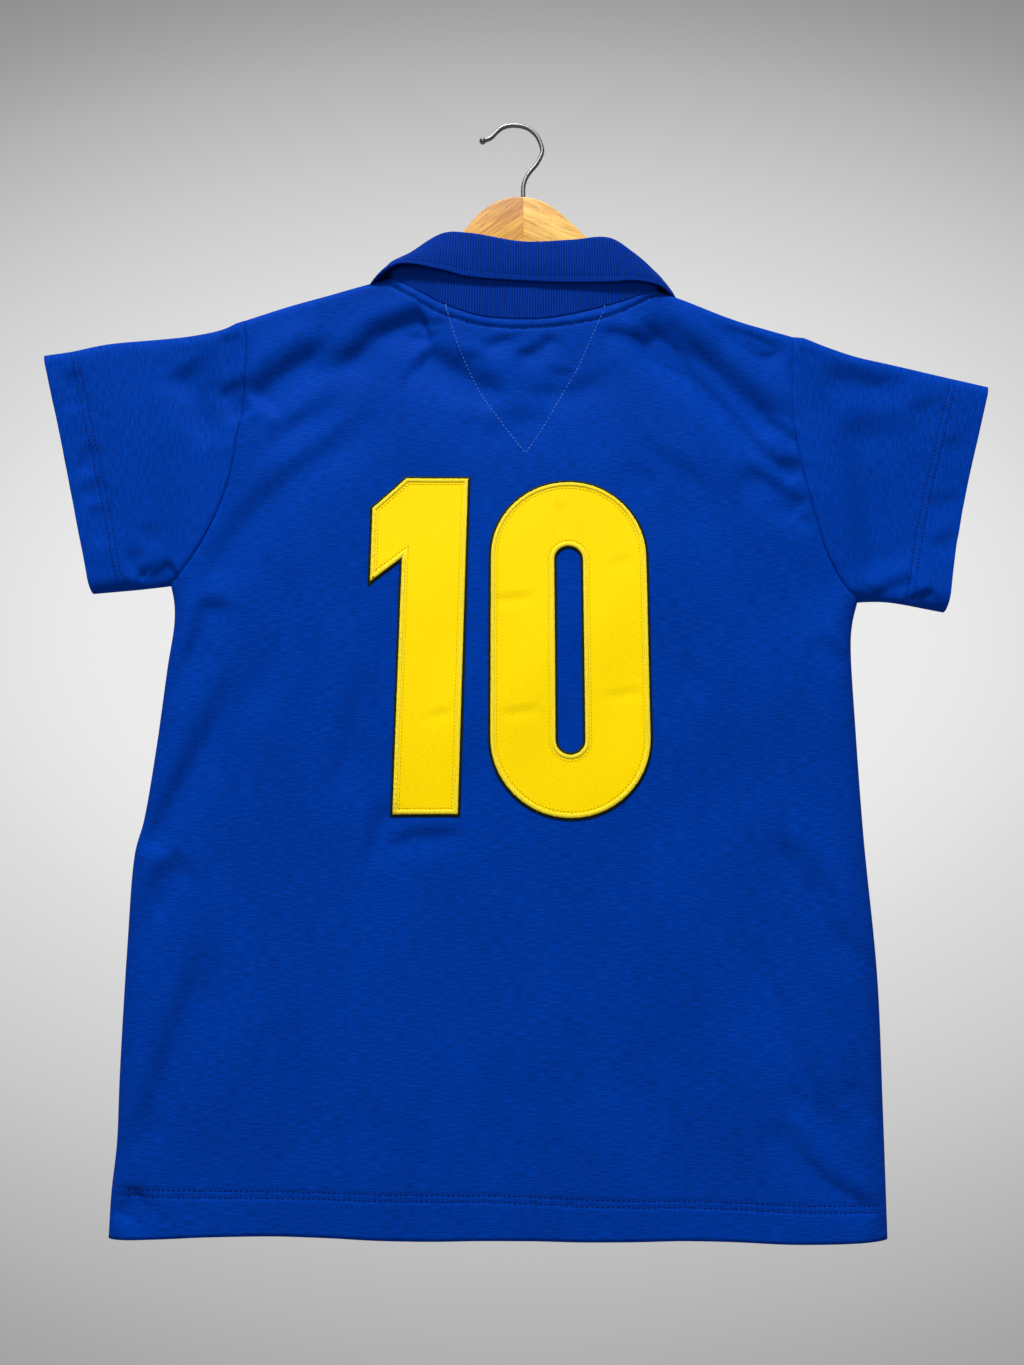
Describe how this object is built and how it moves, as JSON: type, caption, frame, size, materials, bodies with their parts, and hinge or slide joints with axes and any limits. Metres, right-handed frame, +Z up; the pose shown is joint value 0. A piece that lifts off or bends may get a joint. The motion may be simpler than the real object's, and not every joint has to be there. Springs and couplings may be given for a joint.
{
  "type": "football jersey on hanger",
  "caption": "Short-sleeved football jersey with a folded rib collar, a V neck at the front and a plain block number on the back, hung on an arched wooden hanger with a wire hook.",
  "frame": {"origin": "top of the hollow inside the wire hook, where a rail carries it, in the middle plane of the hanger", "axes": "+Z up along the hook's shank, +X across the chest from the left sleeve to the right one as seen from behind, the numbered back faces -Y"},
  "size_m": [0.7854, 0.0379, 0.9096],
  "materials": {
    "jersey_cloth": "royal blue knit with a light sheen",
    "rib_cloth": "royal blue rib knit, dull",
    "number_cloth": "yellow twill",
    "hanger_wood": "clear varnish",
    "hook_steel": "polished"
  },
  "bodies": {
    "root": {"back": "jersey_cloth", "front": "jersey_cloth", "sleeve_left": "jersey_cloth", "sleeve_right": "jersey_cloth", "collar": "rib_cloth", "digit_one": "number_cloth", "digit_zero": "number_cloth", "hanger_left": "hanger_wood", "hanger_right": "hanger_wood", "hook": "hook_steel"}
  },
  "joints": []
}
